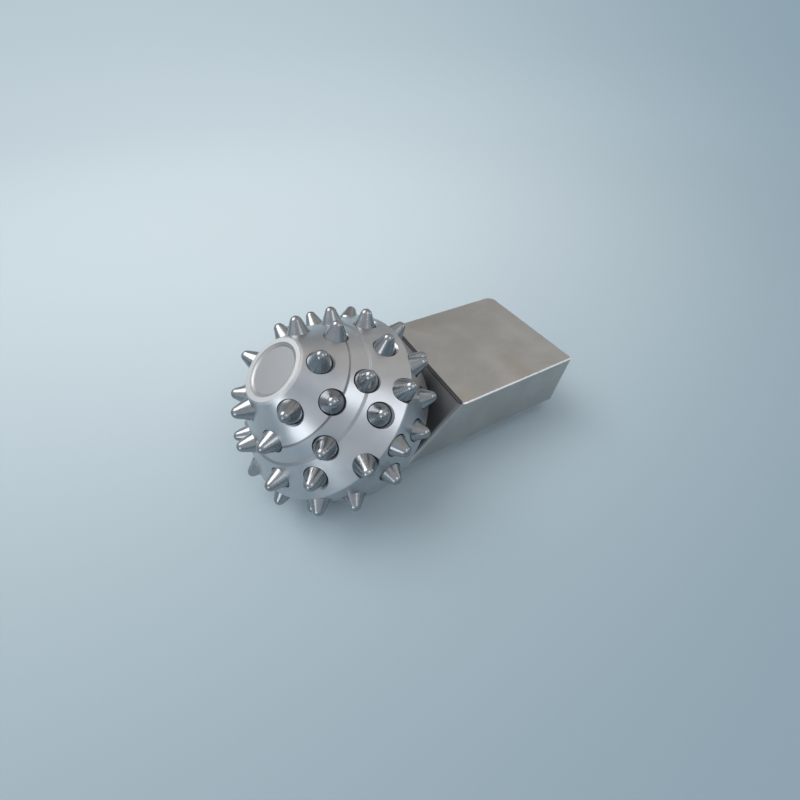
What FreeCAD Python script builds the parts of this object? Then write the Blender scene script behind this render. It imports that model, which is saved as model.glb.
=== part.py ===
"""Single cone roller bit: one carbide-set cone on the bearing journal of a leg with a plain shank.

The leg is drawn in its own frame: X runs along the shank away from the cone, Y across it and Z
up, with x = 0 at the edge where the shank's top face ends and z = 0 at the side faces' lower
edge. Everything turned is drawn about the journal's axis, with its zero at the cone's heel edge
(the largest circle) and up towards the nose. At the end the whole part is pitched until it rests
on the cone's back edge and the shank's far end, with the floor at z = 0.
"""
import FreeCAD, Part
import Sketcher
import math
import os
import re

Vector = FreeCAD.Vector
Placement = FreeCAD.Placement
Rotation = FreeCAD.Rotation

SIZES = {
    # Shank, a bar that is welded into a pocket
    "shank_length": 63.8,
    "shank_width": 60.0,
    "shank_height": 28.0,
    "outer_face_radius": 66.5,
    "slope_angle": 46.5,
    "front_corner_radius": 1.2,
    "back_corner_radius": 4.5,
    "slope_corner_radius": 2.5,
    "edge_chamfer": 0.5,
    # Where the journal's axis stands on the leg
    "journal_angle": 33.4,
    "heel_reach": 48.5,
    "heel_height": 27.2,
    # Cone, outside
    "cone_radius": 40.0,
    "nose_height": 27.3,
    "nose_radius": 12.65,
    "nose_recess_radius": 10.7,
    "nose_recess_slant": 1.4,
    "nose_recess_depth": 0.9,
    "groove_height": 16.0,
    "groove_radius": 24.9,
    "groove_depth": 0.5,
    "step_height": 10.1,
    "step_radius": 30.0,
    "step_ledge": 1.1,
    "step_rise": 0.6,
    "back_depth": 21.3,
    "back_radius": 37.8,
    "edge_break": 0.25,
    # Leg face behind the cone
    "back_gap": 1.0,
    "boss_radius": 27.5,
    # Seal
    "seal_land_radius": 26.0,
    "seal_land_depth": 16.6,
    "seal_section": 1.5,
    "seal_gland_width": 4.0,
    "running_fit": 0.05,
    # Main roller bearing
    "roller_race_radius": 19.5,
    "roller_radius": 3.0,
    "roller_end_play": 0.1,
    "roller_flange_radius": 22.5,
    "roller_race_end": 3.3,
    "flange_thickness": 1.7,
    "shoulder_gap": 0.4,
    # Locking balls
    "ball_radius": 3.5,
    "ball_circle_radius": 15.5,
    "ball_height": 2.5,
    "ball_land_step": 0.35,
    # Thrust face, nose pin and its bushing
    "thrust_face_height": 7.4,
    "thrust_washer_thickness": 1.6,
    "nose_pin_radius": 7.5,
    "nose_pin_end": 16.5,
    "nose_bushing_wall": 2.0,
    "thrust_button_thickness": 1.8,
    # Ball hole through the leg, its plug and weld
    "ball_hole_play": 0.3,
    "plug_foot_length": 3.0,
    "plug_head_length": 7.0,
    "plug_neck_depth": 0.9,
    "weld_radius": 5.5,
    "weld_depth": 4.0,
    # Grease reservoir in the shank's outer face
    "reservoir_place": 8.0,
    "reservoir_radius": 11.0,
    "spotface_radius": 13.5,
    "spotface_depth": 1.4,
    "snap_ring_depth": 1.0,
    "snap_ring_height": 1.5,
    "snap_ring_groove": 1.2,
    "snap_ring_angle": 330.0,
    "cap_thickness": 4.0,
    "cap_ring_section": 0.72,
    "vent_radius": 1.5,
    "diaphragm_thickness": 1.3,
    "diaphragm_depth": 7.0,
    "cup_wall": 0.9,
    "cup_depth": 9.5,
    "chamber_radius": 6.0,
    "chamber_depth": 2.0,
    "passage_radius": 1.5,
    "passage_rise": 16.0,
    # Grease fill plug beside the reservoir
    "fill_plug_place": 28.0,
    "fill_plug_radius": 4.0,
    "fill_plug_length": 6.0,
    "fill_plug_hexagon": 2.0,
    # Carbide inserts, set square to the face of their row
    "insert_radius": 4.5,
    "insert_grip": 6.0,
    "insert_height": 6.2,
    "insert_tip_radius": 2.3,
    "insert_shoulder_depth": 1.0,
    "socket_chamfer": 0.35,
    "static_fit": 0.03,
}

# Each row: height above the heel edge, lean towards the nose, part of the full insert height,
# and the places round the cone in degrees, uneven so that the teeth do not track
INSERT_ROWS = {
    "nose_row_inserts": (23.0, 43.0, 0.95, (6, 80, 148, 219, 294)),
    "second_row_inserts": (17.5, 41.0, 0.95, (43, 114, 184, 256, 328)),
    "middle_row_inserts": (11.35, 42.0, 1.0, (7, 84, 139, 215, 290)),
    "inner_heel_inserts": (5.8, 39.0, 1.0, (37.5, 66, 121, 167, 195, 243, 263, 313, 347)),
    "heel_row_inserts": (1.4, 29.0, 0.98, (94, 139, 278)),
    "upper_gauge_inserts": (-2.0, 3.0, 0.95, (3, 224, 330)),
    "gauge_row_inserts": (-5.0, 0.0, 0.95, (28, 56, 111, 158, 187, 255, 297)),
    "back_row_inserts": (-14.5, 3.0, 0.9, (41, 69.5, 96, 124, 144, 171, 238, 268, 312)),
}

document = FreeCAD.newDocument("single_cone_roller_bit")
sheet = document.addObject("Spreadsheet::Sheet", "Sizes")
for row, (alias, number) in enumerate(SIZES.items(), start=1):
    sheet.set("A%d" % row, alias)
    sheet.set("B%d" % row, "%s" % number)
    sheet.setAlias("B%d" % row, alias)
document.recompute()


def bound(formula):
    """The formula with each size written as the sheet's own cell."""
    return re.sub(r"[a-z][a-z_]*", lambda word: "Sizes." + word.group()
                  if word.group() in SIZES else word.group(), str(formula))


def value(formula):
    """The formula's number at the sheet's present sizes."""
    return float(sheet.evalExpression(bound(formula)))


# Places on the journal's axis, seen in the leg's frame: a height along the axis and a distance
# from it towards the shank
ALONG_X = ("(-heel_reach - ({height}) * sin(journal_angle * 1deg)"
           " + ({out}) * cos(journal_angle * 1deg))")
ALONG_Z = ("(heel_height + ({height}) * cos(journal_angle * 1deg)"
           " + ({out}) * sin(journal_angle * 1deg))")
JOURNAL = ("-heel_reach", "heel_height", "journal_angle")

# How near counts as on a face, the shortest edge that is dressed, and the least volume of a cut
NEAR = 0.01
SHORT_EDGE = 1.0
LEAST_CUT = 1e-6

OUTER_SAG = "(outer_face_radius - sqrt(outer_face_radius ^ 2 - (shank_width / 2) ^ 2))"
ROLLER_CIRCLE = "(roller_race_radius + roller_radius + running_fit)"
ROLLER_BORE = "(roller_race_radius + 2 * roller_radius + 2 * running_fit)"
BALL_GROOVE = "(ball_radius + running_fit)"
BALL_LAND = "(ball_circle_radius - ball_land_step)"
BALL_BORE = "(ball_circle_radius + ball_land_step)"
WASHER_TOP = "(thrust_face_height + thrust_washer_thickness + running_fit)"
BUTTON_FACE = "(nose_pin_end + running_fit)"
BORE_END = "(nose_pin_end + running_fit + thrust_button_thickness)"
BUSHING_RADIUS = "(nose_pin_radius + running_fit + nose_bushing_wall)"
GLAND_BOTTOM = "(seal_land_depth - 2 * running_fit + seal_gland_width)"
GLAND_RADIUS = "(seal_land_radius + 2 * seal_section + running_fit)"
LIP_RADIUS = "(seal_land_radius + 2 * running_fit)"
FACE_DEPTH = "(back_depth + back_gap)"


def plane(body, role):
    return next(feature for feature in body.Origin.OriginFeatures if feature.Role == role)


def new_body(label):
    body = document.addObject("PartDesign::Body", label)
    body.Label = label
    return body


def new_sketch(body, name, role, x="0", y="0", turn="0"):
    """A sketch on one of the body's own planes, moved in that plane and turned about its normal."""
    sketch = body.newObject("Sketcher::SketchObject", name)
    sketch.AttachmentSupport = [(plane(body, role), "")]
    sketch.MapMode = "FlatFace"
    sketch.AttachmentOffset = Placement(Vector(value(x), value(y), 0),
                                        Rotation(Vector(0, 0, 1), value(turn)))
    sketch.setExpression("AttachmentOffset.Base.x", bound(x))
    sketch.setExpression("AttachmentOffset.Base.y", bound(y))
    sketch.setExpression("AttachmentOffset.Rotation.Angle", bound(turn))
    return sketch


def hold_point(sketch, edge, end, x, y):
    """Dimension one point of a sketch from the sketch's own origin."""
    for kind, formula, axis in (("DistanceX", x, -2), ("DistanceY", y, -1)):
        if value(formula) == 0:
            sketch.addConstraint(Sketcher.Constraint("PointOnObject", edge, end, axis))
            continue
        number = sketch.addConstraint(Sketcher.Constraint(kind, -1, 1, edge, end, value(formula)))
        sketch.setExpression("Constraints[%d]" % number, bound(formula))


def draw_outline(sketch, points):
    """A closed outline of straight edges through points given as pairs of formulas."""
    corners = [Vector(value(x), value(y), 0) for x, y in points]
    first = sketch.GeometryCount
    count = len(corners)
    for number in range(count):
        sketch.addGeometry(Part.LineSegment(corners[number], corners[(number + 1) % count]))
    for number in range(count):
        following = first + (number + 1) % count
        sketch.addConstraint(Sketcher.Constraint("Coincident", first + number, 2, following, 1))
        hold_point(sketch, first + number, 1, *points[number])


def draw_circle(sketch, x, y, radius):
    circle = Part.Circle(Vector(value(x), value(y), 0), Vector(0, 0, 1), value(radius))
    number = sketch.addGeometry(circle)
    hold_point(sketch, number, 3, x, y)
    rule = sketch.addConstraint(Sketcher.Constraint("Radius", number, value(radius)))
    sketch.setExpression("Constraints[%d]" % rule, bound(radius))


def turned(body, name, points, frame=("0", "0", "0"), kind="Revolution", angle="360"):
    """Turn an outline about the upright axis of its sketch, to add it or to cut it away."""
    sketch = new_sketch(body, name + "_outline", "XZ_Plane", *frame)
    draw_outline(sketch, points)
    return turn_sketch(body, name, sketch, kind, angle)


def turn_sketch(body, name, sketch, kind, angle="360"):
    feature = body.newObject("PartDesign::" + kind, name)
    feature.Profile = sketch
    feature.ReferenceAxis = (sketch, ["V_Axis"])
    feature.setExpression("Angle", bound(angle))
    sketch.Visibility = False
    before = body.Shape.Volume if kind == "Groove" and body.Shape else None
    document.recompute()
    if before is not None and feature.Shape.Volume >= before - LEAST_CUT:
        raise ValueError(name + " cuts nothing")
    return feature


def turned_groove(body, name, frame, x, y, radius):
    """Cut a groove of round section about the upright axis of its sketch."""
    sketch = new_sketch(body, name + "_section", "XZ_Plane", *frame)
    draw_circle(sketch, x, y, radius)
    return turn_sketch(body, name, sketch, "Groove")


def drilled(body, name, x, y, turn, steps):
    """A stepped hole from a start point: steps are (radius, depth) pairs, mouth first."""
    points = [("0", "0")]
    depth = "0"
    for radius, end in steps:
        points += [(radius, depth), (radius, end)]
        depth = end
    points.append(("0", depth))
    return turned(body, name, points, (x, y, turn), "Groove")


def edges_where(shape, test):
    return ["Edge%d" % (number + 1) for number, edge in enumerate(shape.Edges) if test(edge)]


def dress(body, name, kind, edges, size_name, formula):
    dressed = body.Tip
    feature = body.newObject("PartDesign::" + kind, name)
    feature.Base = (dressed, edges)
    feature.setExpression(size_name, bound(formula))
    document.recompute()
    return feature


def cut_outer_face(body, name):
    """Trim everything outside the leg's curved outer face, a cylinder along the shank."""
    sketch = new_sketch(body, name + "_outline", "YZ_Plane")
    reach = "(2 * outer_face_radius + cone_radius)"
    centre = "(outer_face_radius - %s)" % OUTER_SAG
    draw_outline(sketch, [("-" + reach, "-" + reach), (reach, "-" + reach),
                          (reach, reach), ("-" + reach, reach)])
    draw_circle(sketch, "0", centre, "outer_face_radius")
    before = body.Shape.Volume
    pocket = body.newObject("PartDesign::Pocket", name)
    pocket.Profile = sketch
    pocket.Type = "ThroughAll"
    pocket.Midplane = True
    document.recompute()
    if pocket.Shape.Volume >= before - LEAST_CUT:
        raise ValueError(name + " cuts nothing")
    return pocket


def ball_hole_frame():
    """Start point and turn of the ball hole, from the outer face up to the ball race."""
    start = "(heel_height + %s)" % OUTER_SAG
    start_height = "(-%s / cos(journal_angle * 1deg))" % start
    rise = "(ball_height - %s)" % start_height
    lean = "(atan(ball_circle_radius / %s) / 1deg)" % rise
    x = ALONG_X.format(height=start_height, out="0")
    y = ALONG_Z.format(height=start_height, out="0")
    return x, y, "(journal_angle - %s)" % lean, "(sqrt(ball_circle_radius ^ 2 + %s ^ 2))" % rise


BALL_HOLE_X, BALL_HOLE_Z, BALL_HOLE_TURN, BALL_HOLE_LENGTH = ball_hole_frame()
BALL_HOLE_RADIUS = "(ball_radius + ball_hole_play)"
RESERVOIR_TOP = ("(spotface_depth + snap_ring_depth + snap_ring_height + cap_thickness"
                 " + diaphragm_thickness + cup_depth + 5 * static_fit)")


def make_leg():
    """One forging: shank, slope, boss and journal, with its holes and bores."""
    body = new_body("leg")
    side = new_sketch(body, "shank_side", "XZ_Plane")
    foot = "(%s + edge_chamfer)" % OUTER_SAG
    draw_outline(side, [("0", "shank_height"), ("shank_length", "shank_height"),
                        ("shank_length", "-" + foot),
                        ("-(shank_height + %s) / tan(slope_angle * 1deg)" % foot, "-" + foot)])
    pad = body.newObject("PartDesign::Pad", "shank")
    pad.Profile = side
    pad.Midplane = True
    pad.setExpression("Length", bound("shank_width"))
    document.recompute()

    length = value("shank_length")
    height = value("shank_height")

    def stands_at_end(edge, side):
        box = edge.BoundBox
        at_end = abs(box.XMin - length) < NEAR and box.XLength < NEAR
        return at_end and box.ZLength > height and side * box.YMin > 0

    def runs_down_slope(edge):
        box = edge.BoundBox
        return box.YLength < NEAR and min(box.XLength, box.ZLength) > SHORT_EDGE

    for side, corner in ((-1, "front_corner"), (1, "back_corner")):
        upright = edges_where(body.Tip.Shape, lambda edge: stands_at_end(edge, side))
        dress(body, corner, "Fillet", upright, "Radius", corner + "_radius")
    dress(body, "slope_corners", "Fillet", edges_where(body.Tip.Shape, runs_down_slope), "Radius",
          "slope_corner_radius")

    def rims_top(edge):
        box = edge.BoundBox
        return box.ZMin > height - NEAR and box.XMax > SHORT_EDGE

    dress(body, "top_edges", "Chamfer", edges_where(body.Tip.Shape, rims_top), "Size",
          "edge_chamfer")

    root = "(heel_reach + shank_height + shank_width) / 2"
    turned(body, "boss_and_journal", [
        ("0", "-" + root), ("boss_radius", "-" + root),
        ("boss_radius", "-" + FACE_DEPTH),
        ("seal_land_radius", "-" + FACE_DEPTH),
        ("seal_land_radius", "-seal_land_depth"),
        ("roller_race_radius", "-seal_land_depth"),
        ("roller_race_radius", "-roller_race_end"),
        ("roller_flange_radius", "-roller_race_end"),
        ("roller_flange_radius", "-roller_race_end + flange_thickness"),
        (BALL_LAND, "-roller_race_end + flange_thickness"),
        (BALL_LAND, "thrust_face_height - edge_break"),
        (BALL_LAND + " - edge_break", "thrust_face_height"),
        ("nose_pin_radius", "thrust_face_height"),
        ("nose_pin_radius", "nose_pin_end - 2 * edge_break"),
        ("nose_pin_radius - 2 * edge_break", "nose_pin_end"),
        ("0", "nose_pin_end")], JOURNAL)
    turned_groove(body, "ball_race", JOURNAL, "ball_circle_radius", "ball_height", BALL_GROOVE)
    cut_outer_face(body, "outer_face")

    drilled(body, "ball_hole", BALL_HOLE_X, BALL_HOLE_Z, BALL_HOLE_TURN, [
        (BALL_HOLE_RADIUS, BALL_HOLE_LENGTH)])
    turned(body, "weld_mouth", [
        ("0", "-2 * weld_radius"), ("weld_radius", "-2 * weld_radius"),
        ("weld_radius", "weld_depth"), ("0", "weld_depth")],
        (BALL_HOLE_X, BALL_HOLE_Z, BALL_HOLE_TURN), "Groove")
    middle = "(-seal_land_depth - roller_race_end) / 2"
    drilled(body, "race_passage", ALONG_X.format(height=middle, out="nose_pin_radius"),
            ALONG_Z.format(height=middle, out="nose_pin_radius"), "journal_angle - 90", [
        ("passage_radius", "roller_flange_radius - nose_pin_radius")])

    drilled(body, "reservoir_bore", "reservoir_place", "-" + OUTER_SAG, "0", [
        ("spotface_radius", "spotface_depth"),
        ("reservoir_radius", "spotface_depth + snap_ring_depth"),
        ("reservoir_radius + snap_ring_groove",
         "spotface_depth + snap_ring_depth + snap_ring_height"),
        ("reservoir_radius", RESERVOIR_TOP),
        ("chamber_radius", RESERVOIR_TOP + " + chamber_depth")])
    chamber = "(%s + chamber_depth / 2 - %s)" % (RESERVOIR_TOP, OUTER_SAG)
    meet_x = "(%s - passage_rise * sin(%s * 1deg))" % (BALL_HOLE_X, BALL_HOLE_TURN)
    meet_z = "(%s + passage_rise * cos(%s * 1deg))" % (BALL_HOLE_Z, BALL_HOLE_TURN)
    run = "(reservoir_place - %s)" % meet_x
    fall = "(%s - %s)" % (chamber, meet_z)
    drilled(body, "long_passage", "reservoir_place", chamber,
            "90 + atan(%s / %s) / 1deg" % (fall, run), [
        ("passage_radius", "sqrt(%s ^ 2 + %s ^ 2)" % (run, fall))])
    drilled(body, "fill_plug_bore", "fill_plug_place", "-" + OUTER_SAG, "0", [
        ("fill_plug_radius", "fill_plug_length + edge_chamfer")])
    back = "(fill_plug_place - reservoir_place)"
    climb = "(%s - edge_chamfer - fill_plug_length + %s)" % (chamber, OUTER_SAG)
    drilled(body, "fill_passage", "fill_plug_place",
            "-%s + fill_plug_length + edge_chamfer - passage_radius" % OUTER_SAG,
            "atan(%s / %s) / 1deg" % (back, climb), [
        ("passage_radius", "sqrt(%s ^ 2 + %s ^ 2)" % (back, climb))])
    return body


def make_ball_retaining_plug():
    """A bar in the ball hole, necked to let grease by, its head cut to the ball race."""
    body = new_body("ball_retaining_plug")
    frame = (BALL_HOLE_X, BALL_HOLE_Z, BALL_HOLE_TURN)
    radius = "(%s - static_fit)" % BALL_HOLE_RADIUS
    turned(body, "bar", [
        ("0", "weld_depth"), (radius, "weld_depth"),
        (radius, "weld_depth + plug_foot_length"),
        (radius + " - plug_neck_depth", "weld_depth + plug_foot_length"),
        (radius + " - plug_neck_depth", BALL_HOLE_LENGTH + " - plug_head_length"),
        (radius, BALL_HOLE_LENGTH + " - plug_head_length"),
        (radius, BALL_HOLE_LENGTH + " - edge_break"),
        ("0", BALL_HOLE_LENGTH + " - edge_break")], frame)
    turned_groove(body, "ball_seat", JOURNAL, "ball_circle_radius", "ball_height",
                  BALL_GROOVE + " + static_fit")
    trim = "(%s - static_fit)" % BALL_LAND
    turned(body, "journal_trim", [
        (trim, "-roller_race_end + flange_thickness - static_fit"),
        ("cone_radius", "-roller_race_end + flange_thickness - static_fit"),
        ("cone_radius", "nose_height"), (trim, "nose_height")], JOURNAL, "Groove")
    return body


def make_plug_weld():
    """Weld metal in the ball hole's mouth, dressed flush with the outer face."""
    body = new_body("plug_weld")
    turned(body, "weld", [
        ("0", "-weld_radius"), ("weld_radius", "-weld_radius"),
        ("weld_radius", "weld_depth"), ("0", "weld_depth")],
        (BALL_HOLE_X, BALL_HOLE_Z, BALL_HOLE_TURN))
    cut_outer_face(body, "weld_face")
    return body


def turned_piece(label, points, angle="360"):
    body = new_body(label)
    turned(body, "turning", points, angle=angle)
    return body


def make_cap():
    """Reservoir cap with a vent, and a groove round it for its O-ring."""
    radius = "(reservoir_radius - static_fit)"
    floor = "(reservoir_radius - 2 * cap_ring_section - static_fit)"
    return turned_piece("reservoir_cap", [
        ("vent_radius", "0"), (radius + " - edge_break", "0"), (radius, "edge_break"),
        (radius, "cap_thickness / 2 - cap_ring_section - static_fit"),
        (floor, "cap_thickness / 2 - cap_ring_section - static_fit"),
        (floor, "cap_thickness / 2 + cap_ring_section + static_fit"),
        (radius, "cap_thickness / 2 + cap_ring_section + static_fit"),
        (radius, "cap_thickness"), ("vent_radius", "cap_thickness")])


def make_ring(label, circle, section):
    body = new_body(label)
    sketch = new_sketch(body, "section", "XZ_Plane")
    draw_circle(sketch, circle, "0", section)
    turn_sketch(body, "ring", sketch, "Revolution")
    return body


def make_diaphragm():
    """Rubber boot: a flange held under the cap and a closed hat that reaches into the cup."""
    rim = "(reservoir_radius - static_fit)"
    hat = "(reservoir_radius - 2 * cup_wall - diaphragm_thickness)"
    inner = "(%s - diaphragm_thickness)" % hat
    return turned_piece("reservoir_diaphragm", [
        ("0", "diaphragm_depth - diaphragm_thickness"),
        (inner, "diaphragm_depth - diaphragm_thickness"), (inner, "0"), (rim, "0"),
        (rim, "diaphragm_thickness"), (hat, "diaphragm_thickness"),
        (hat, "diaphragm_depth - edge_break"), (hat + " - edge_break", "diaphragm_depth"),
        ("0", "diaphragm_depth")])


def make_cup():
    """Thin metal cup, its closed end pierced to let the grease through."""
    outside = "(reservoir_radius - static_fit)"
    return turned_piece("grease_reservoir_cup", [
        (outside + " - cup_wall", "0"), (outside, "0"), (outside, "cup_depth"),
        ("passage_radius", "cup_depth"), ("passage_radius", "cup_depth - cup_wall"),
        (outside + " - cup_wall", "cup_depth - cup_wall")])


def make_fill_plug():
    """Threaded plug with a hexagon socket."""
    radius = "(fill_plug_radius - static_fit)"
    body = turned_piece("grease_fill_plug", [
        ("0", "0"), (radius + " - edge_break", "0"), (radius, "edge_break"),
        (radius, "fill_plug_length"), ("0", "fill_plug_length")])
    sketch = new_sketch(body, "socket_outline", "XY_Plane")
    corners = [("fill_plug_hexagon * cos(%d * 1deg)" % (60 * number + 30),
                "fill_plug_hexagon * sin(%d * 1deg)" % (60 * number + 30)) for number in range(6)]
    draw_outline(sketch, corners)
    before = body.Shape.Volume
    pocket = body.newObject("PartDesign::Pocket", "socket")
    pocket.Profile = sketch
    pocket.Reversed = True
    pocket.setExpression("Length", bound("fill_plug_length / 2"))
    document.recompute()
    if pocket.Shape.Volume >= before - LEAST_CUT:
        raise ValueError("the fill plug's socket cuts nothing")
    return body


def make_cone_blank():
    """The cone as it leaves the lathe, before its sockets are drilled."""
    body = new_body("cone_blank")
    heel_slope = "((cone_radius - step_radius) / step_height)"
    turned(body, "cone_turning", [
        ("0", "nose_height - nose_recess_depth"),
        ("nose_recess_radius - nose_recess_slant", "nose_height - nose_recess_depth"),
        ("nose_recess_radius", "nose_height"),
        ("nose_radius - edge_break", "nose_height"),
        ("nose_radius", "nose_height - edge_break"),
        ("groove_radius - groove_depth / 2", "groove_height + groove_depth / 2"),
        ("groove_radius - groove_depth", "groove_height - groove_depth / 4"),
        ("groove_radius + groove_depth / 4", "groove_height - groove_depth"),
        ("step_radius - step_ledge", "step_height + step_rise"),
        ("step_radius", "step_height"),
        ("cone_radius - edge_break", "edge_break * %s" % heel_slope),
        ("cone_radius", "-edge_break"),
        ("back_radius", "-back_depth"),
        (LIP_RADIUS, "-back_depth"),
        (LIP_RADIUS, "-" + GLAND_BOTTOM),
        (GLAND_RADIUS, "-" + GLAND_BOTTOM),
        (GLAND_RADIUS, "-seal_land_depth + 2 * running_fit"),
        (ROLLER_BORE, "-seal_land_depth + 2 * running_fit"),
        (ROLLER_BORE, "-roller_race_end + flange_thickness + shoulder_gap"),
        (BALL_BORE, "-roller_race_end + flange_thickness + shoulder_gap"),
        (BALL_BORE, WASHER_TOP), (BUSHING_RADIUS, WASHER_TOP),
        (BUSHING_RADIUS, BORE_END), ("0", BORE_END)])
    turned_groove(body, "cone_ball_race", ("0", "0", "0"), "ball_circle_radius", "ball_height",
                  BALL_GROOVE)
    return body


def face_radius(height):
    """Radius of the cone's outer face at a height above the heel edge."""
    turns = [(value("nose_height"), value("nose_radius")),
             (value("groove_height"), value("groove_radius")),
             (value("step_height"), value("step_radius")),
             (0.0, value("cone_radius")),
             (-value("back_depth"), value("back_radius"))]
    for (upper, upper_radius), (lower, lower_radius) in zip(turns, turns[1:]):
        if height >= lower:
            share = (height - lower) / (upper - lower)
            return lower_radius + share * (upper_radius - lower_radius)
    return turns[-1][1]


def insert_places(row_name):
    """Placements in the cone's frame, each with its Z out along the insert."""
    height, lean, _, angles = INSERT_ROWS[row_name]
    out = Placement(Vector(face_radius(height), 0, height), Rotation(Vector(0, 1, 0), 90 - lean))
    return [Placement(Vector(), Rotation(Vector(0, 0, 1), angle - 180)) * out for angle in angles]


def revolve_half(edges):
    """A solid of revolution from a closed half outline drawn beside the upright axis."""
    face = Part.Face(Part.Wire(edges))
    return face.revolve(Vector(), Vector(0, 0, 1), 360)


def lines(points):
    corners = [Vector(x, 0, z) for x, z in points]
    return [Part.makeLine(a, b) for a, b in zip(corners, corners[1:])]


def insert_shape(share):
    """Cylindrical grip, then from just inside its socket a cone that runs into a ball tip."""
    radius = value("insert_radius")
    grip = value("insert_grip")
    tip = value("insert_tip_radius")
    shoulder = -value("insert_shoulder_depth")
    top = value("insert_height") * share
    bevel = value("edge_break") * 2
    centre = top - tip
    reach = math.hypot(radius, centre - shoulder)
    half_angle = math.acos(tip / reach) - math.atan2(centre - shoulder, radius)
    touch = Vector(tip * math.cos(half_angle), 0, centre + tip * math.sin(half_angle))
    middle_angle = (half_angle + math.pi / 2) / 2
    crown = Vector(tip * math.cos(middle_angle), 0, centre + tip * math.sin(middle_angle))
    edges = lines([(0, -grip), (radius - bevel, -grip), (radius, bevel - grip),
                   (radius, shoulder), (touch.x, touch.z)])
    edges.append(Part.Arc(touch, crown, Vector(0, 0, top)).toShape())
    edges.append(Part.makeLine(Vector(0, 0, top), Vector(0, 0, -grip)))
    return revolve_half(edges)


def socket_shape():
    """Drilled socket with a small bevel at its mouth."""
    radius = value("insert_radius")
    bevel = value("socket_chamfer")
    above = value("insert_height")
    mouth = radius + bevel + above
    edges = lines([(0, -value("insert_grip")), (radius, -value("insert_grip")), (radius, -bevel),
                   (mouth, above), (0, above), (0, -value("insert_grip"))])
    return revolve_half(edges)


def coded_piece(label, shapes):
    feature = document.addObject("Part::Feature", label)
    feature.Label = label
    feature.Shape = Part.makeCompound(shapes) if len(shapes) > 1 else shapes[0]
    return feature


def placed(shape, placement):
    copy = shape.copy()
    copy.Placement = placement * copy.Placement
    return copy


def make_cone_shell(blank):
    """The turned blank with a socket for every insert."""
    places = [place for row_name in INSERT_ROWS for place in insert_places(row_name)]
    socket = socket_shape()
    sockets = [placed(socket, place) for place in places]
    tool = document.addObject("Part::Feature", "insert_sockets")
    tool.Shape = sockets[0].multiFuse(sockets[1:])
    shell = document.addObject("Part::Cut", "cone_shell")
    shell.Base = blank
    shell.Tool = tool
    shell.Label = "cone_shell"
    document.recompute()
    return shell


def make_inserts(row_name):
    insert = insert_shape(INSERT_ROWS[row_name][2])
    return coded_piece(row_name, [placed(insert, place) for place in insert_places(row_name)])


def full_complement(circle, radius):
    """How many rollers or balls fit round a circle with a running gap between them."""
    gap = value("running_fit")
    return int(math.pi / math.asin((radius + gap) / circle))


def make_rollers():
    circle = value(ROLLER_CIRCLE)
    radius = value("roller_radius")
    play = value("roller_end_play")
    foot = -value("seal_land_depth") + play + 2 * value("running_fit")
    length = -value("roller_race_end") - play - foot
    count = full_complement(circle, radius)
    rollers = []
    for number in range(count):
        angle = 2 * math.pi * number / count
        base = Vector(circle * math.cos(angle), circle * math.sin(angle), foot)
        rollers.append(Part.makeCylinder(radius, length, base))
    return coded_piece("main_rollers", rollers)


def make_balls():
    circle = value("ball_circle_radius")
    radius = value("ball_radius")
    count = full_complement(circle, radius)
    balls = []
    for number in range(count):
        angle = 2 * math.pi * number / count
        centre = Vector(circle * math.cos(angle), circle * math.sin(angle), value("ball_height"))
        balls.append(placed(Part.makeSphere(radius), Placement(centre, Rotation())))
    return coded_piece("locking_balls", balls)


def rest_pitch():
    """Angle between the leg's outer face and the floor it rests on, cone back edge down."""
    edge_x = value(ALONG_X.format(height="-back_depth", out="-back_radius"))
    edge_z = value(ALONG_Z.format(height="-back_depth", out="-back_radius"))
    end_z = -value(OUTER_SAG)
    return math.degrees(math.atan2(end_z - edge_z, value("shank_length") - edge_x))


def in_leg(x=0.0, z=0.0, turn=0.0):
    """A piece's place in the leg's frame: a point in its middle plane and a lean towards -X."""
    return Placement(Vector(x, 0, z), Rotation(Vector(0, 1, 0), -turn))


leg = make_leg()
plug = make_ball_retaining_plug()
weld = make_plug_weld()
cap = make_cap()
cap_ring = make_ring("cap_o_ring", "reservoir_radius - cap_ring_section - static_fit / 2",
                     "cap_ring_section - static_fit / 4")
diaphragm = make_diaphragm()
cup = make_cup()
snap_ring = turned_piece("cap_snap_ring", [
    ("reservoir_radius - snap_ring_groove", "static_fit"),
    ("reservoir_radius + snap_ring_groove - 4 * static_fit", "static_fit"),
    ("reservoir_radius + snap_ring_groove - 4 * static_fit", "snap_ring_height"),
    ("reservoir_radius - snap_ring_groove", "snap_ring_height")], "snap_ring_angle")
fill_plug = make_fill_plug()
cone_shell = make_cone_shell(make_cone_blank())
insert_rows = [make_inserts(row_name) for row_name in INSERT_ROWS]
nose_bushing = turned_piece("nose_bushing", [
    ("nose_pin_radius + running_fit", WASHER_TOP), (BUSHING_RADIUS, WASHER_TOP),
    (BUSHING_RADIUS, BUTTON_FACE), ("nose_pin_radius + running_fit", BUTTON_FACE)])
thrust_button = turned_piece("thrust_button", [
    ("0", BUTTON_FACE), (BUSHING_RADIUS, BUTTON_FACE), (BUSHING_RADIUS, BORE_END), ("0", BORE_END)])
thrust_washer = turned_piece("thrust_washer", [
    ("nose_pin_radius + 2 * running_fit", "thrust_face_height + running_fit"),
    (BALL_BORE + " - static_fit", "thrust_face_height + running_fit"),
    (BALL_BORE + " - static_fit", WASHER_TOP),
    ("nose_pin_radius + 2 * running_fit", WASHER_TOP)])
cone_seal = make_ring("cone_seal_ring", "seal_land_radius + seal_section + running_fit / 2",
                      "seal_section - running_fit / 4")
rollers = make_rollers()
balls = make_balls()

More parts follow.
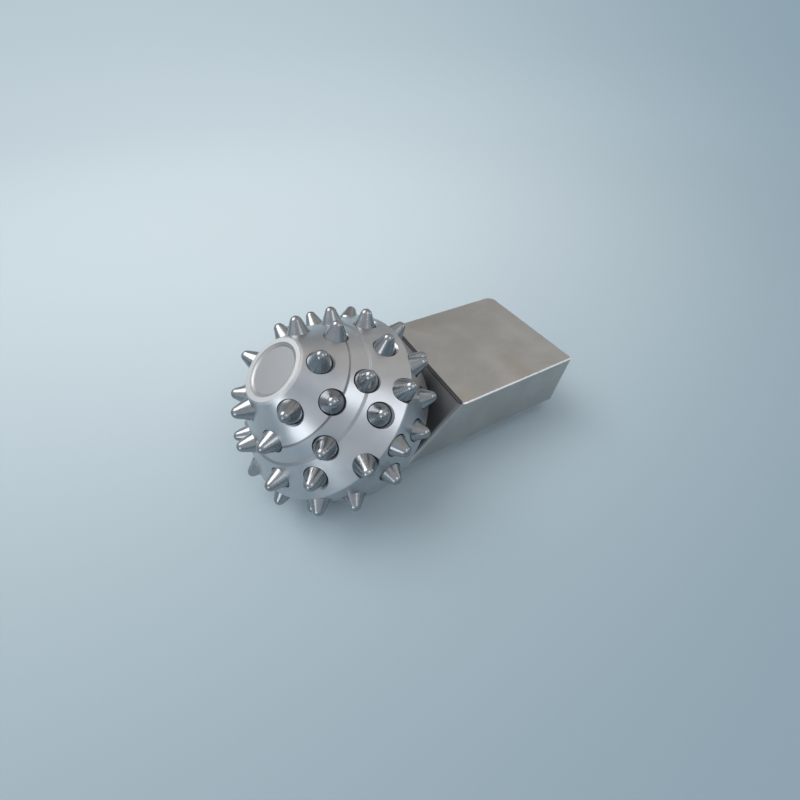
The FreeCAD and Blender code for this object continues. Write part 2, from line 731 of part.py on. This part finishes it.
cap_depth = value("spotface_depth + snap_ring_depth + snap_ring_height + static_fit")
bore_foot = -value(OUTER_SAG)
reservoir = value("reservoir_place")
flange_depth = cap_depth + value("cap_thickness + static_fit")
cup_place = flange_depth + value("diaphragm_thickness + static_fit")
on_journal = in_leg(-value("heel_reach"), value("heel_height"), value("journal_angle"))
seal_place = on_journal * Placement(
    Vector(0, 0, -value(GLAND_BOTTOM) + value("seal_gland_width") / 2), Rotation())

places = {
    leg: Placement(),
    plug: Placement(),
    weld: Placement(),
    cap: in_leg(reservoir, bore_foot + cap_depth),
    cap_ring: in_leg(reservoir, bore_foot + cap_depth + value("cap_thickness / 2")),
    diaphragm: in_leg(reservoir, bore_foot + flange_depth),
    cup: in_leg(reservoir, bore_foot + cup_place),
    snap_ring: in_leg(reservoir, bore_foot + value("spotface_depth + snap_ring_depth")),
    fill_plug: in_leg(value("fill_plug_place"), bore_foot + value("edge_chamfer")),
    cone_shell: on_journal,
    nose_bushing: on_journal,
    thrust_button: on_journal,
    thrust_washer: on_journal,
    cone_seal: seal_place,
    rollers: on_journal,
    balls: on_journal,
}
for row in insert_rows:
    places[row] = on_journal

# Lay the leg down on the floor and put the origin under the middle of the part
pitch = rest_pitch()
laid = Placement(Vector(), Rotation(Vector(0, 1, 0), pitch))
for piece, place in places.items():
    piece.Placement = laid * place
document.recompute()
box = Part.makeCompound([piece.Shape for piece in places]).optimalBoundingBox(False)
laid = Placement(Vector(-box.Center.x, 0, -box.ZMin), Rotation()) * laid
for piece, place in places.items():
    piece.Placement = laid * place
document.recompute()

for item in document.Objects:
    if "Invalid" in item.State or "Error" in item.State:
        raise ValueError(item.Name + " did not build")

os.makedirs("parts", exist_ok=True)
for piece in places:
    if piece.Shape.isNull() or not piece.Shape.isValid():
        raise ValueError(piece.Label + " has no valid shape")
    piece.Shape.exportStep("parts/%s.step" % piece.Label)

print("rest pitch", round(pitch, 3), "length", round(box.XLength, 2), "width",
      round(box.YLength, 2), "height", round(box.ZLength, 2))
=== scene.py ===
"""Looks of the single cone roller bit: floor, studio light, camera and the finishes of its pieces.

Lengths are in metres in the part's own frame. The journal's frame has its origin at the middle of
the cone's heel edge and its third axis up the journal towards the nose. The shank's frame has its
first axis along the shank and its third square to the shank's top face.
"""
import math

import bpy
import numpy as np
from mathutils import Matrix, Vector

MM = 0.001

# Where the camera stood, from the lines of the shank and the rings of the cone
CAMERA_PLACE = (-54.83 * MM, -96.78 * MM, 142.79 * MM)
CAMERA_FORWARD = (0.32301, 0.57771, -0.74961)
CAMERA_ROLL = math.radians(-0.15)
CAMERA_LENS = 15.457
CAMERA_SENSOR = 36.0

# The shank's frame and the journal's, as the part lies
REST_PITCH = math.radians(1.8375)
SHANK_ORIGIN = Vector((10.608, 0.0, 9.194)) * MM
SHANK_LENGTH = 63.8
SHANK_HALF_WIDTH = 30.0
SHANK_HEIGHT = 28.0
SLOPE_ANGLE = math.radians(46.5)
OUTER_FACE_RADIUS = 66.5
JOURNAL_ORIGIN = Vector((-36.994, 0.0, 37.935)) * MM
JOURNAL_LEAN = math.radians(31.5625)

# Rings on the cone's face: height above the heel edge and radius, in millimetres
STEP_LEDGE = (10.4, 29.45)
GROOVE_LINE = (15.9, 24.6)
NOSE_EDGE = (27.3, 12.65)
RECESS_EDGE = (27.3, 10.7)

# Lamps: azimuth from +X towards +Y and height in degrees, distance and sides in metres, watts, tint
AIM = (0.0, 0.0, 0.035)
LAMPS = {
    "key_box": (132.0, 56.0, 2.0, (1.5, 1.3), 20.0, (1.0, 0.99, 0.97)),
    "low_left_box": (209.5, 11.5, 2.0, (0.85, 0.75), 4.7, (0.96, 0.98, 1.0)),
    "front_right_box": (299.0, 50.0, 2.0, (0.95, 0.85), 4.0, (0.97, 0.98, 1.0)),
    "right_strip": (350.0, 11.0, 2.0, (0.5, 0.5), 1.6, (1.0, 0.98, 0.97)),
}
# The room is cool, warmer towards one side and dimmer towards its back
ROOM_COOL = (0.59, 0.625, 0.66)
ROOM_WARM = (0.615, 0.59, 0.555)
ROOM_DIM = (0.38, 0.38, 0.385)
WARM_SIDE = (0.58, 0.52, 0.63)
DIM_SIDE = (0.16, 0.93, 0.34)

# The floor's painted light fall-off as seen from a point over the part: bright one way, dim towards
# the other
TONE_POINT = (0.0, 0.0, 0.327)
BRIGHT_WAY = (-0.0103, 0.7384, -0.6743)
TONE_SPAN = (1.11, 0.11)
FLOOR_BRIGHT = (0.584, 0.684, 0.738)
FLOOR_DIM = (0.24, 0.337, 0.405)
# Light that falls on the floor by the part, per colour, so that the lit floor meets that tone
FLOOR_LIGHT = (0.895, 0.925, 0.945)
# In metres: between these distances the lit floor gives way to the backdrop, and between these
# heights the backdrop gives way to the room's own tone
PLAIN_BACKDROP = (0.25, 0.9)
BACKDROP_RISE = (0.3, 2.4)

# Base colours of the metals, and of the painted shades and painted highlights on them
LEG_DARK = (0.44, 0.436, 0.428)
LEG_LIGHT = (0.525, 0.52, 0.51)
LEG_OILED = (0.44, 0.40, 0.34)
SCALED_SHADED_SLOPE = (0.17, 0.177, 0.184)
BROW_PAINTED_SHADE = (0.05, 0.05, 0.055)
BARE_STEEL_AND_HIGHLIGHT = (0.92, 0.92, 0.92)
CONE_DARK = (0.46, 0.475, 0.50)
CONE_LIGHT = (0.56, 0.575, 0.60)
NOSE_DISC = (0.425, 0.425, 0.435)
NOSE_RIM = (0.66, 0.665, 0.67)
LEDGE_SHADE = (0.31, 0.32, 0.34)
GROOVE_SHADE = (0.14, 0.145, 0.15)
CARBIDE = (0.33, 0.345, 0.36)

# Roughness: the leg's from its smoothest stroke to its dullest, the cone's in the middle of its
# spread, and what each mark adds
LEG_GLOSS = (0.37, 0.45)
SLOPE_DULLER = 0.12
WORN_DULLER = 0.1
SMEAR_SMOOTHER = -0.05
CONE_GLOSS = 0.325
TURNING_SPREAD = 0.008
NOSE_DULLER = 0.13
WALL_DULLER = 0.2

# Marks, painted shades and painted highlights: strokes and rings per millimetre, and widths in
# millimetres from full to nothing
BRUSH_STROKES = (0.15, 2.2, 2.2)
TURNING_RINGS = 4.5
SCALE_SHADE_WIDTH = (0.7, 1.0)
BROW_WIDTH = (0.55, 0.75)
GROOVE_WIDTH = (0.35, 0.65)
LEDGE_WIDTH = (0.5, 0.75)
EDGE_WEAR_AND_HIGHLIGHT = 0.2
RUBBED_WEAR_AND_HIGHLIGHT = 0.5
NOSE_WEAR_AND_HIGHLIGHT = 0.08


class Nodes:
    """A node tree with short ways to add and join nodes."""

    def __init__(self, tree):
        self.tree = tree

    def add(self, kind, **settings):
        """A new node with its settings made."""
        node = self.tree.nodes.new(kind)
        for name, setting in settings.items():
            setattr(node, name, setting)
        return node

    def set(self, socket, value):
        """Link the socket to another one, or give it a number, a vector or a colour."""
        if isinstance(value, bpy.types.NodeSocket):
            self.tree.links.new(value, socket)
        elif value is not None:
            socket.default_value = value

    def math(self, operation, first, second=None, third=None):
        node = self.add("ShaderNodeMath", operation=operation)
        for socket, value in zip(node.inputs, (first, second, third)):
            self.set(socket, value)
        return node.outputs[0]

    def dot(self, vector, direction):
        node = self.add("ShaderNodeVectorMath", operation="DOT_PRODUCT")
        self.set(node.inputs[0], vector)
        node.inputs[1].default_value = direction
        return node.outputs["Value"]

    def unit(self, vector):
        node = self.add("ShaderNodeVectorMath", operation="NORMALIZE")
        self.set(node.inputs[0], vector)
        return node.outputs[0]

    def length(self, *parts):
        """The root of the sum of the squares."""
        total = self.math("MULTIPLY", parts[0], parts[0])
        for part in parts[1:]:
            total = self.math("MULTIPLY_ADD", part, part, total)
        return self.math("SQRT", total)

    def fade(self, value, start, end, low=0.0, high=1.0):
        """A smooth step: low up to start, high from end on."""
        node = self.add("ShaderNodeMapRange", interpolation_type="SMOOTHSTEP")
        for name, number in (("Value", value), ("From Min", start), ("From Max", end),
                             ("To Min", low), ("To Max", high)):
            self.set(node.inputs[name], number)
        return node.outputs["Result"]

    def near(self, distance, full, nothing):
        """A mask of what is close: 1 within full, 0 from nothing on."""
        return self.fade(distance, nothing, full)

    def noise(self, vector, scale, detail=2.0, roughness=0.5):
        node = self.add("ShaderNodeTexNoise")
        for name, number in (("Vector", vector), ("Scale", scale), ("Detail", detail),
                             ("Roughness", roughness)):
            self.set(node.inputs[name], number)
        return node.outputs["Fac"]

    def mix(self, share, first, second):
        node = self.add("ShaderNodeMix", data_type="RGBA")
        self.set(node.inputs["Factor"], share)
        self.set(node.inputs["A"], first)
        self.set(node.inputs["B"], second)
        return node.outputs["Result"]

    def join(self, x, y, z):
        node = self.add("ShaderNodeCombineXYZ")
        for socket, value in zip(node.inputs, (x, y, z)):
            self.set(socket, value)
        return node.outputs[0]

    def split(self, vector):
        node = self.add("ShaderNodeSeparateXYZ")
        self.set(node.inputs[0], vector)
        return node.outputs

    def place(self, vector, location=(0, 0, 0), rotation=(0, 0, 0), scale=(1, 1, 1)):
        """The vector scaled, then turned, then moved."""
        node = self.add("ShaderNodeMapping")
        self.set(node.inputs["Vector"], vector)
        node.inputs["Location"].default_value = location
        node.inputs["Rotation"].default_value = rotation
        node.inputs["Scale"].default_value = scale
        return node.outputs[0]

    def group(self, tree, **values):
        """The outputs of a shader group whose named inputs are set."""
        node = self.add("ShaderNodeGroup", node_tree=tree)
        for name, value in values.items():
            self.set(node.inputs[name.replace("_", " ")], value)
        return node.outputs

    def bump(self, height, depth, strength=0.3):
        """A surface normal from a height mask whose full depth is given in millimetres."""
        node = self.add("ShaderNodeBump")
        node.inputs["Strength"].default_value = strength
        node.inputs["Distance"].default_value = depth * MM
        self.set(node.inputs["Height"], height)
        return node.outputs[0]

    def surface_point(self):
        return self.add("ShaderNodeTexCoord").outputs["Object"]


def rgb(red, green, blue):
    """An opaque colour."""
    return (red, green, blue, 1.0)


def new_group(name, inputs, outputs, kind="NodeSocketFloat"):
    """A shader group with named sockets: its tree, its Nodes, its inside inputs and outputs."""
    tree = bpy.data.node_groups.new(name, "ShaderNodeTree")
    tree.interface.new_socket("Point", in_out="INPUT", socket_type="NodeSocketVector")
    for socket, default in inputs:
        item = tree.interface.new_socket(socket, in_out="INPUT", socket_type="NodeSocketFloat")
        item.default_value = default
    for socket in outputs:
        tree.interface.new_socket(socket, in_out="OUTPUT", socket_type=kind)
    nodes = Nodes(tree)
    return tree, nodes, nodes.add("NodeGroupInput").outputs, nodes.add("NodeGroupOutput").inputs


def grain_group():
    """Uneven metal, both masks from 0 to 1: slow cloudy change, and fine grain."""
    tree, nodes, inside, out = new_group("metal_grain", [("Cloud Size", 12.0), ("Grain Size", 0.6)],
                                         ["Cloud", "Grain"])
    for mask, size, detail in (("Cloud", "Cloud Size", 3.0), ("Grain", "Grain Size", 2.0)):
        scale = nodes.math("DIVIDE", 1.0, inside[size])
        speckle = nodes.noise(inside["Point"], scale, detail)
        nodes.set(out[mask], nodes.fade(speckle, 0.25, 0.75))
    return tree


def wear_highlight_group():
    """Bare bright metal by an edge, partly wear and partly a painted highlight: full within Width
    of it, ragged by nicks of Nick Size.
    """
    tree, nodes, inside, out = new_group("edge_wear_and_highlight", [
        ("Distance", 1.0), ("Width", 0.3), ("Nick Size", 1.2)], ["Worn"])
    nick = nodes.noise(inside["Point"], nodes.math("DIVIDE", 1.0, inside["Nick Size"]), 4.0, 0.7)
    reach = nodes.math("MULTIPLY", inside["Width"], nodes.math("MULTIPLY", nick, 2.0))
    past = nodes.math("SUBTRACT", inside["Distance"], reach)
    nodes.set(out["Worn"], nodes.near(past, -0.05, 0.12))
    return tree


def handling_group():
    """Traces of handling: broad smears of old oil and a few hairline scratches along the part."""
    tree, nodes, inside, out = new_group("handling_marks", [
        ("Smear Size", 20.0), ("Scratch Gap", 5.0)], ["Smear", "Scratch"])
    broad = nodes.noise(inside["Point"], nodes.math("DIVIDE", 1.0, inside["Smear Size"]), 2.0, 0.4)
    nodes.set(out["Smear"], nodes.fade(broad, 0.48, 0.66))
    x, y, z = nodes.split(inside["Point"])
    lines = nodes.join(nodes.math("MULTIPLY", x, 0.06), nodes.math("MULTIPLY_ADD", x, 0.12, y), z)
    scale = nodes.math("DIVIDE", 3.0, inside["Scratch Gap"])
    thin = nodes.math("ABSOLUTE", nodes.math("SUBTRACT", nodes.noise(lines, scale, 1.0), 0.5))
    patch = nodes.fade(nodes.noise(inside["Point"], 0.11, 2.0), 0.50, 0.62)
    nodes.set(out["Scratch"], nodes.math("MULTIPLY", nodes.near(thin, 0.0, 0.006), patch))
    return tree


def room_group():
    """The room's tone as seen from the part: cool, warmer one way and dimmer another."""
    tree, nodes, inside, out = new_group("room_tone", [], ["Tone"], "NodeSocketColor")
    way = nodes.unit(inside["Point"])
    warmth = nodes.fade(nodes.dot(way, WARM_SIDE), 0.45, 0.9)
    gloom = nodes.fade(nodes.dot(way, DIM_SIDE), 0.72, 0.98)
    tone = nodes.mix(warmth, rgb(*ROOM_COOL), rgb(*ROOM_WARM))
    nodes.set(out["Tone"], nodes.mix(gloom, tone, rgb(*ROOM_DIM)))
    return tree


GRAIN = grain_group()
WEAR_HIGHLIGHT = wear_highlight_group()
HANDLING = handling_group()
ROOM = room_group()


def turned_place(nodes, turn, origin):
    """The surface point in millimetres in a frame with that origin, turned about Y."""
    offset = Matrix.Rotation(turn, 3, "Y") @ (origin / MM)
    return nodes.place(nodes.surface_point(), -offset, (0, turn, 0), (1 / MM,) * 3)


def new_material(name):
    """A material, its Nodes and its surface shader."""
    material = bpy.data.materials.new(name)
    material.use_nodes = True
    nodes = Nodes(material.node_tree)
    return material, nodes, material.node_tree.nodes["Principled BSDF"]


def plain_metal(name, color, roughness, metallic=1.0, cloud=0.12, grain=0.05, relief=0.01):
    """A small piece's finish: its colour and gloss change a little over the surface."""
    material, nodes, surface = new_material(name)
    point = nodes.place(nodes.surface_point(), scale=(1 / MM,) * 3)
    marks = nodes.group(GRAIN, Point=point, Cloud_Size=6.0, Grain_Size=0.35)
    darker = rgb(*[channel * (1 - cloud) for channel in color])
    lighter = rgb(*[min(1.0, channel * (1 + cloud)) for channel in color])
    nodes.set(surface.inputs["Base Color"], nodes.mix(marks["Cloud"], darker, lighter))
    nodes.set(surface.inputs["Roughness"],
              nodes.fade(marks["Grain"], 0.0, 1.0, roughness - grain, roughness + grain))
    surface.inputs["Metallic"].default_value = metallic
    nodes.set(surface.inputs["Normal"], nodes.bump(marks["Grain"], relief))
    return material


def edge_nearness(nodes, distances):
    """The second smallest of the distances to the faces: how near the closest edge is."""
    nearest = nodes.math("MINIMUM", distances[0], distances[1])
    second = nodes.math("MAXIMUM", distances[0], distances[1])
    for distance in distances[2:]:
        second = nodes.math("MINIMUM", second, nodes.math("MAXIMUM", nearest, distance))
        nearest = nodes.math("MINIMUM", nearest, distance)
    return second


def shank_faces(nodes, x, y, z):
    """Millimetres from each of the shank's faces: top, end, nearer side, slope, outer face."""
    top = nodes.math("ABSOLUTE", nodes.math("SUBTRACT", z, SHANK_HEIGHT))
    end = nodes.math("ABSOLUTE", nodes.math("SUBTRACT", x, SHANK_LENGTH))
    side = nodes.math("ABSOLUTE", nodes.math("SUBTRACT", nodes.math("ABSOLUTE", y),
                                             SHANK_HALF_WIDTH))
    along = nodes.math("MULTIPLY", x, math.sin(SLOPE_ANGLE))
    up = nodes.math("MULTIPLY", nodes.math("SUBTRACT", z, SHANK_HEIGHT), math.cos(SLOPE_ANGLE))
    slope = nodes.math("ABSOLUTE", nodes.math("SUBTRACT", along, up))
    sag = OUTER_FACE_RADIUS - math.sqrt(OUTER_FACE_RADIUS ** 2 - SHANK_HALF_WIDTH ** 2)
    spread = nodes.length(nodes.math("SUBTRACT", z, OUTER_FACE_RADIUS - sag), y)
    outer = nodes.math("ABSOLUTE", nodes.math("SUBTRACT", spread, OUTER_FACE_RADIUS))
    return top, end, side, slope, outer


def leg_steel():
    """Ground steel with faint lengthwise brushing, smeared by handling, its edges lightened partly
    by wear and partly as a painted highlight, its slope darkened partly by scale and partly as
    painted shade, with a painted dark line where the slope meets the top.
    """
    material, nodes, surface = new_material("leg_ground_steel")
    point = turned_place(nodes, -REST_PITCH, SHANK_ORIGIN)
    x, y, z = nodes.split(point)
    marks = nodes.group(GRAIN, Point=point, Cloud_Size=16.0, Grain_Size=0.5)
    traces = nodes.group(HANDLING, Point=point)
    brushed = nodes.noise(nodes.place(point, scale=BRUSH_STROKES), 1.0, 4.0, 0.6)
    top, end, side, slope, outer = shank_faces(nodes, x, y, z)
    tone = nodes.mix(marks["Cloud"], rgb(*LEG_DARK), rgb(*LEG_LIGHT))
    tone = nodes.mix(nodes.math("MULTIPLY", traces["Smear"], 0.35), tone, rgb(*LEG_OILED))
    tone = nodes.mix(nodes.math("MULTIPLY", traces["Scratch"], 0.35), tone, rgb(*BARE_STEEL_AND_HIGHLIGHT))
    # The slope's darker tone, partly scale and partly painted shade, stops where the slope meets
    # the sides and the outer face
    past_slope = nodes.math("SUBTRACT", nodes.math("MINIMUM", side, outer), slope)
    scale_and_shade = nodes.math("MULTIPLY", nodes.near(slope, *SCALE_SHADE_WIDTH),
                        nodes.fade(past_slope, -0.1, 0.3))
    tone = nodes.mix(nodes.math("MULTIPLY", scale_and_shade, 0.9), tone, rgb(*SCALED_SHADED_SLOPE))
    # Painted shade: a near-black line where the slope meets the top face
    brow_shade = nodes.near(nodes.math("MAXIMUM", slope, top), *BROW_WIDTH)
    tone = nodes.mix(brow_shade, tone, rgb(*BROW_PAINTED_SHADE))
    # Edges lightened towards bare steel: partly wear, partly a painted highlight along the edges
    # and the top-front edge
    edge = edge_nearness(nodes, [top, end, side, outer])
    wear_and_highlight = nodes.group(WEAR_HIGHLIGHT, Point=point, Distance=edge, Width=EDGE_WEAR_AND_HIGHLIGHT)["Worn"]
    front = nodes.math("ABSOLUTE", nodes.math("ADD", y, SHANK_HALF_WIDTH))
    rubbed_wear_and_highlight = nodes.group(WEAR_HIGHLIGHT, Point=point, Distance=nodes.math("MAXIMUM", top, front),
                         Width=RUBBED_WEAR_AND_HIGHLIGHT)["Worn"]
    wear_and_highlight = nodes.math("MAXIMUM", wear_and_highlight, rubbed_wear_and_highlight)
    # The scale and painted shade on the slope hide the wear and painted highlight there
    wear_and_highlight = nodes.math("MULTIPLY", wear_and_highlight, nodes.fade(slope, 0.7, 1.2))
    tone = nodes.mix(wear_and_highlight, tone, rgb(*BARE_STEEL_AND_HIGHLIGHT))
    nodes.set(surface.inputs["Base Color"], tone)
    satin = nodes.fade(brushed, 0.3, 0.7, *LEG_GLOSS)
    satin = nodes.math("MULTIPLY_ADD", traces["Smear"], SMEAR_SMOOTHER, satin)
    satin = nodes.math("MULTIPLY_ADD", scale_and_shade, SLOPE_DULLER, satin)
    nodes.set(surface.inputs["Roughness"], nodes.math("MULTIPLY_ADD", wear_and_highlight, WORN_DULLER, satin))
    surface.inputs["Metallic"].default_value = 1.0
    dents = nodes.math("MULTIPLY_ADD", traces["Scratch"], -1.5, brushed)
    nodes.set(surface.inputs["Normal"], nodes.bump(dents, 0.02, 0.25))
    return material


def cone_steel():
    """Turned steel: fine rings about the journal's axis, a duller nose disc, nose edges lightened
    partly by wear and partly as a painted highlight, painted shade in the groove and on the step
    ledge.
    """
    material, nodes, surface = new_material("cone_turned_steel")
    point = turned_place(nodes, JOURNAL_LEAN, JOURNAL_ORIGIN)
    x, y, z = nodes.split(point)
    radius = nodes.length(x, y)
    marks = nodes.group(GRAIN, Point=point, Cloud_Size=14.0, Grain_Size=0.5)
    rings = nodes.noise(nodes.join(nodes.math("MULTIPLY", radius, TURNING_RINGS),
                                   nodes.math("MULTIPLY", z, TURNING_RINGS),
                                   nodes.math("MULTIPLY", marks["Cloud"], 0.4)), 1.0, 2.0, 0.5)
    tone = nodes.mix(marks["Cloud"], rgb(*CONE_DARK), rgb(*CONE_LIGHT))

    def ring_distance(ring):
        """Millimetres from a ring given by its height above the heel edge and its radius."""
        height, wide = ring
        return nodes.length(nodes.math("SUBTRACT", z, height), nodes.math("SUBTRACT", radius, wide))

    nose, recess = NOSE_EDGE[0], RECESS_EDGE[1]
    disc = nodes.math("MULTIPLY", nodes.fade(z, nose - 0.5, nose - 0.7),
                      nodes.fade(radius, recess - 0.6, recess - 1.4))
    rim = nodes.math("MULTIPLY", nodes.fade(z, nose - 0.9, nose - 0.5),
                     nodes.fade(radius, recess - 0.9, recess - 0.5))
    wall = nodes.math("MULTIPLY", rim, nodes.fade(radius, recess + 0.15, recess - 0.1))
    # Painted shade: a darker line in the groove between the bands
    groove_shade = nodes.near(ring_distance(GROOVE_LINE), *GROOVE_WIDTH)
    # Painted shade: the step ledge darkened
    ledge_shade = nodes.near(ring_distance(STEP_LEDGE), *LEDGE_WIDTH)
    # Nose edges lightened towards bare steel: partly wear, partly a painted highlight
    nearest = nodes.math("MINIMUM", ring_distance(NOSE_EDGE), ring_distance(RECESS_EDGE))
    wear_and_highlight = nodes.group(WEAR_HIGHLIGHT, Point=point, Distance=nearest, Width=NOSE_WEAR_AND_HIGHLIGHT)["Worn"]
    for mask, share, color in ((disc, 1.0, NOSE_DISC), (rim, 1.0, NOSE_RIM),
                               (wall, 1.0, NOSE_DISC), (groove_shade, 0.65, GROOVE_SHADE),
                               (ledge_shade, 0.8, LEDGE_SHADE), (wear_and_highlight, 0.3, BARE_STEEL_AND_HIGHLIGHT)):
        tone = nodes.mix(nodes.math("MULTIPLY", mask, share), tone, rgb(*color))
    nodes.set(surface.inputs["Base Color"], tone)
    satin = nodes.fade(rings, 0.3, 0.7, CONE_GLOSS - TURNING_SPREAD, CONE_GLOSS + TURNING_SPREAD)
    satin = nodes.math("MULTIPLY_ADD", wall, WALL_DULLER, satin)
    dull = nodes.math("MAXIMUM", nodes.math("MAXIMUM", disc, rim), ledge_shade)
    nodes.set(surface.inputs["Roughness"], nodes.math("MULTIPLY_ADD", dull, NOSE_DULLER, satin))
    surface.inputs["Metallic"].default_value = 1.0
    nodes.set(surface.inputs["Normal"], nodes.bump(rings, 0.003, 0.1))
    return material


def dress_pieces(pieces):
    """Give every CAD piece its finish."""
    carbide = plain_metal("polished_carbide", CARBIDE, 0.23)
    bearing = plain_metal("ground_bearing_steel", (0.62, 0.62, 0.63), 0.14)
    bronze = plain_metal("bearing_bronze", (0.62, 0.42, 0.22), 0.30)
    rubber = plain_metal("seal_rubber", (0.03, 0.03, 0.032), 0.60, metallic=0.0)
    plated = plain_metal("plated_steel", (0.55, 0.55, 0.52), 0.32)
    spring = plain_metal("spring_steel", (0.20, 0.20, 0.21), 0.35)
    weld = plain_metal("dressed_weld", (0.34, 0.33, 0.32), 0.45, cloud=0.25, relief=0.05)
    finishes = {
        "leg": leg_steel(), "cone_shell": cone_steel(), "plug_weld": weld,
        "ball_retaining_plug": bearing, "main_rollers": bearing, "locking_balls": bearing,
        "thrust_button": bearing, "thrust_washer": bearing, "nose_bushing": bronze,
        "cone_seal_ring": rubber, "cap_o_ring": rubber, "reservoir_diaphragm": rubber,
        "grease_reservoir_cup": plated, "reservoir_cap": plated, "grease_fill_plug": plated,
        "cap_snap_ring": spring,
    }
    for name, piece in pieces.items():
        piece.data.materials.clear()
        piece.data.materials.append(finishes.get(name, carbide))


def make_floor():
    """A level floor that sweeps up far behind: height = rise * max(0, distance - start) squared."""
    half, count, start, rise = 8.0, 161, 2.8, 0.12
    side = np.linspace(-half, half, count)
    x, y = np.meshgrid(side, side, indexing="ij")
    away = np.maximum(0.0, np.hypot(x, y) - start)
    points = np.stack((x, y, rise * away ** 2), axis=-1).reshape(-1, 3)
    index = np.arange(count * count).reshape(count, count)
    faces = np.stack((index[:-1, :-1], index[1:, :-1], index[1:, 1:], index[:-1, 1:]),
                     axis=-1).reshape(-1, 4)
    mesh = bpy.data.meshes.new("floor")
    mesh.from_pydata(points.tolist(), [], faces.tolist())
    mesh.polygons.foreach_set("use_smooth", np.ones(len(faces), bool))
    floor = bpy.data.objects.new("floor", mesh)
    bpy.context.collection.objects.link(floor)
    floor.data.materials.append(pale_floor())


def pale_floor():
    """Matt pale blue-grey with painted light fall-off, lighter one way and darker the other; far
    from the part a backdrop whose tone doesn't depend on the lamps.
    """
    material, nodes, surface = new_material("pale_floor")
    point = nodes.surface_point()
    way = nodes.unit(nodes.place(point, -Vector(TONE_POINT)))
    dim = nodes.fade(nodes.dot(way, BRIGHT_WAY), *TONE_SPAN)
    tone = nodes.mix(dim, rgb(*FLOOR_BRIGHT), rgb(*FLOOR_DIM))
    bright, dark = [rgb(*np.divide(shade, FLOOR_LIGHT)) for shade in (FLOOR_BRIGHT, FLOOR_DIM)]
    matt = nodes.mix(dim, bright, dark)
    nodes.set(surface.inputs["Base Color"], matt)
    surface.inputs["Roughness"].default_value = 0.9
    surface.inputs["Specular IOR Level"].default_value = 0.1
    x, y, z = nodes.split(point)
    away = nodes.fade(nodes.length(x, y), *PLAIN_BACKDROP)
    room = nodes.group(ROOM, Point=point)["Tone"]
    tone = nodes.mix(nodes.fade(z, *BACKDROP_RISE), tone, room)
    ray = nodes.add("ShaderNodeLightPath").outputs
    seen = nodes.math("MAXIMUM", ray["Is Camera Ray"], ray["Is Glossy Ray"])
    seen = nodes.math("MAXIMUM", seen, ray["Is Transmission Ray"])
    glow = nodes.add("ShaderNodeEmission")
    nodes.set(glow.inputs["Color"], tone)
    blend = nodes.add("ShaderNodeMixShader")
    nodes.set(blend.inputs[0], nodes.math("MULTIPLY", away, seen))
    nodes.set(blend.inputs[1], surface.outputs[0])
    nodes.set(blend.inputs[2], glow.outputs[0])
    nodes.set(material.node_tree.nodes["Material Output"].inputs["Surface"], blend.outputs[0])
    return material


def make_light():
    """An evenly lit room and the soft boxes, all turned to the part."""
    world = bpy.data.worlds.new("studio")
    world.use_nodes = True
    bpy.context.scene.world = world
    nodes = Nodes(world.node_tree)
    way = nodes.add("ShaderNodeTexCoord").outputs["Generated"]
    nodes.set(world.node_tree.nodes["Background"].inputs["Color"],
              nodes.group(ROOM, Point=way)["Tone"])
    for name, (azimuth, height, distance, sides, watts, tint) in LAMPS.items():
        lamp = bpy.data.lights.new(name, "AREA")
        lamp.shape = "RECTANGLE"
        lamp.size, lamp.size_y = sides
        lamp.energy = watts
        lamp.color = tint
        box = bpy.data.objects.new(name, lamp)
        bpy.context.collection.objects.link(box)
        level = distance * math.cos(math.radians(height))
        away = Vector((level * math.cos(math.radians(azimuth)),
                       level * math.sin(math.radians(azimuth)),
                       distance * math.sin(math.radians(height))))
        box.location = Vector(AIM) + away
        box.rotation_euler = (-away).to_track_quat("-Z", "Y").to_euler()


def make_camera():
    """The camera as it stood for the photo."""
    lens = bpy.data.cameras.new("photo_camera")
    lens.lens = CAMERA_LENS
    lens.sensor_width = CAMERA_SENSOR
    lens.clip_start = 0.005
    camera = bpy.data.objects.new("photo_camera", lens)
    bpy.context.collection.objects.link(camera)
    aim = Vector(CAMERA_FORWARD).to_track_quat("-Z", "Y").to_matrix()
    aim = aim @ Matrix.Rotation(-CAMERA_ROLL, 3, "Z")
    camera.matrix_world = Matrix.Translation(CAMERA_PLACE) @ aim.to_4x4()
    bpy.context.scene.camera = camera


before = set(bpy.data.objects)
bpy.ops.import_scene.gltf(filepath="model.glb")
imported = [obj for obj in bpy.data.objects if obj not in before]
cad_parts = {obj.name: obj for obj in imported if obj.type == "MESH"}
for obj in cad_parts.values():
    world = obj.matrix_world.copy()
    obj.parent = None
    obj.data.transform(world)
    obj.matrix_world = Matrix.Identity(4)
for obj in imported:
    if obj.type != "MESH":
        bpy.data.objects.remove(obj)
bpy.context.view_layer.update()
dress_pieces(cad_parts)
make_floor()
make_light()
make_camera()
bpy.context.scene.view_settings.view_transform = "Standard"
